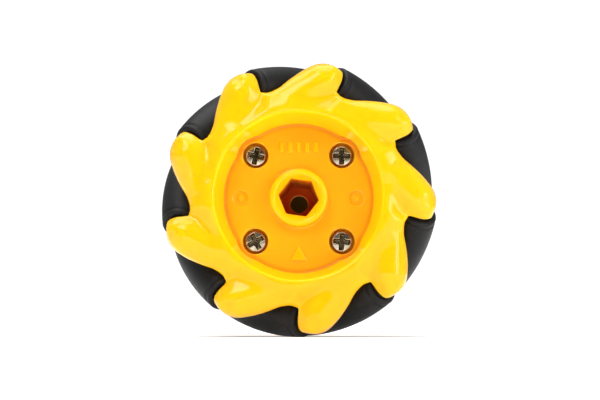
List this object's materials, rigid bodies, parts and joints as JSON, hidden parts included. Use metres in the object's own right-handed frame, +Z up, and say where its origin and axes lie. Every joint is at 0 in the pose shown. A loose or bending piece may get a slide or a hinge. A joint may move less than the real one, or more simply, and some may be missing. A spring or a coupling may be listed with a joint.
{
  "type": "mecanum wheel",
  "caption": "Mecanum wheel: two-part plastic hub with curled fingers holding slanted barrel rollers, with a hex socket for the motor shaft adapter.",
  "frame": {"origin": "the wheel's centre, on its axle and midway between the two hub faces", "axes": "+Y along the axle, from the motor side to the outer side; +Z up; the wheel rolls along X"},
  "size_m": [0.048, 0.0252, 0.048],
  "materials": {
    "hub_plastic": "glossy moulded",
    "screw_plating": "nickel plated",
    "axle_steel": "ground",
    "core_plastic": "satin moulded",
    "tread_rubber": "satin rubber"
  },
  "bodies": {
    "hub": {"front_hub": "hub_plastic", "back_hub": "hub_plastic", "hub_screws": "screw_plating", "roller_axle_1": "axle_steel", "roller_axle_2": "axle_steel", "roller_axle_3": "axle_steel", "roller_axle_4": "axle_steel", "roller_axle_5": "axle_steel", "roller_axle_6": "axle_steel", "roller_axle_7": "axle_steel", "roller_axle_8": "axle_steel", "roller_axle_9": "axle_steel"},
    "roller_1": {"roller_tread_1": "tread_rubber", "roller_core_1": "core_plastic"},
    "roller_2": {"roller_tread_2": "tread_rubber", "roller_core_2": "core_plastic"},
    "roller_3": {"roller_tread_3": "tread_rubber", "roller_core_3": "core_plastic"},
    "roller_4": {"roller_tread_4": "tread_rubber", "roller_core_4": "core_plastic"},
    "roller_5": {"roller_tread_5": "tread_rubber", "roller_core_5": "core_plastic"},
    "roller_6": {"roller_tread_6": "tread_rubber", "roller_core_6": "core_plastic"},
    "roller_7": {"roller_tread_7": "tread_rubber", "roller_core_7": "core_plastic"},
    "roller_8": {"roller_tread_8": "tread_rubber", "roller_core_8": "core_plastic"},
    "roller_9": {"roller_tread_9": "tread_rubber", "roller_core_9": "core_plastic"}
  },
  "joints": [
    {"name": "roller_1_spin", "type": "hinge", "parent": "hub", "child": "roller_1", "pos_m": [0.01904, 0, 0.00422], "axis": [0.153, 0.7071, -0.6903], "continuous": true},
    {"name": "roller_2_spin", "type": "hinge", "parent": "hub", "child": "roller_2", "pos_m": [0.01187, 0, 0.01547], "axis": [0.561, 0.7071, -0.4305], "continuous": true},
    {"name": "roller_3_spin", "type": "hinge", "parent": "hub", "child": "roller_3", "pos_m": [-0.00085, 0, 0.01948], "axis": [0.7064, 0.7071, 0.0308], "continuous": true},
    {"name": "roller_4_spin", "type": "hinge", "parent": "hub", "child": "roller_4", "pos_m": [-0.01317, 0, 0.01438], "axis": [0.5213, 0.7071, 0.4777], "continuous": true},
    {"name": "roller_5_spin", "type": "hinge", "parent": "hub", "child": "roller_5", "pos_m": [-0.01933, 0, 0.00255], "axis": [0.0923, 0.7071, 0.7011], "continuous": true},
    {"name": "roller_6_spin", "type": "hinge", "parent": "hub", "child": "roller_6", "pos_m": [-0.01645, 0, -0.01048], "axis": [-0.3799, 0.7071, 0.5964], "continuous": true},
    {"name": "roller_7_spin", "type": "hinge", "parent": "hub", "child": "roller_7", "pos_m": [-0.00586, 0, -0.0186], "axis": [-0.6744, 0.7071, 0.2126], "continuous": true},
    {"name": "roller_8_spin", "type": "hinge", "parent": "hub", "child": "roller_8", "pos_m": [0.00746, 0, -0.01802], "axis": [-0.6533, 0.7071, -0.2706], "continuous": true},
    {"name": "roller_9_spin", "type": "hinge", "parent": "hub", "child": "roller_9", "pos_m": [0.0173, 0, -0.009], "axis": [-0.3265, 0.7071, -0.6272], "continuous": true}
  ]
}
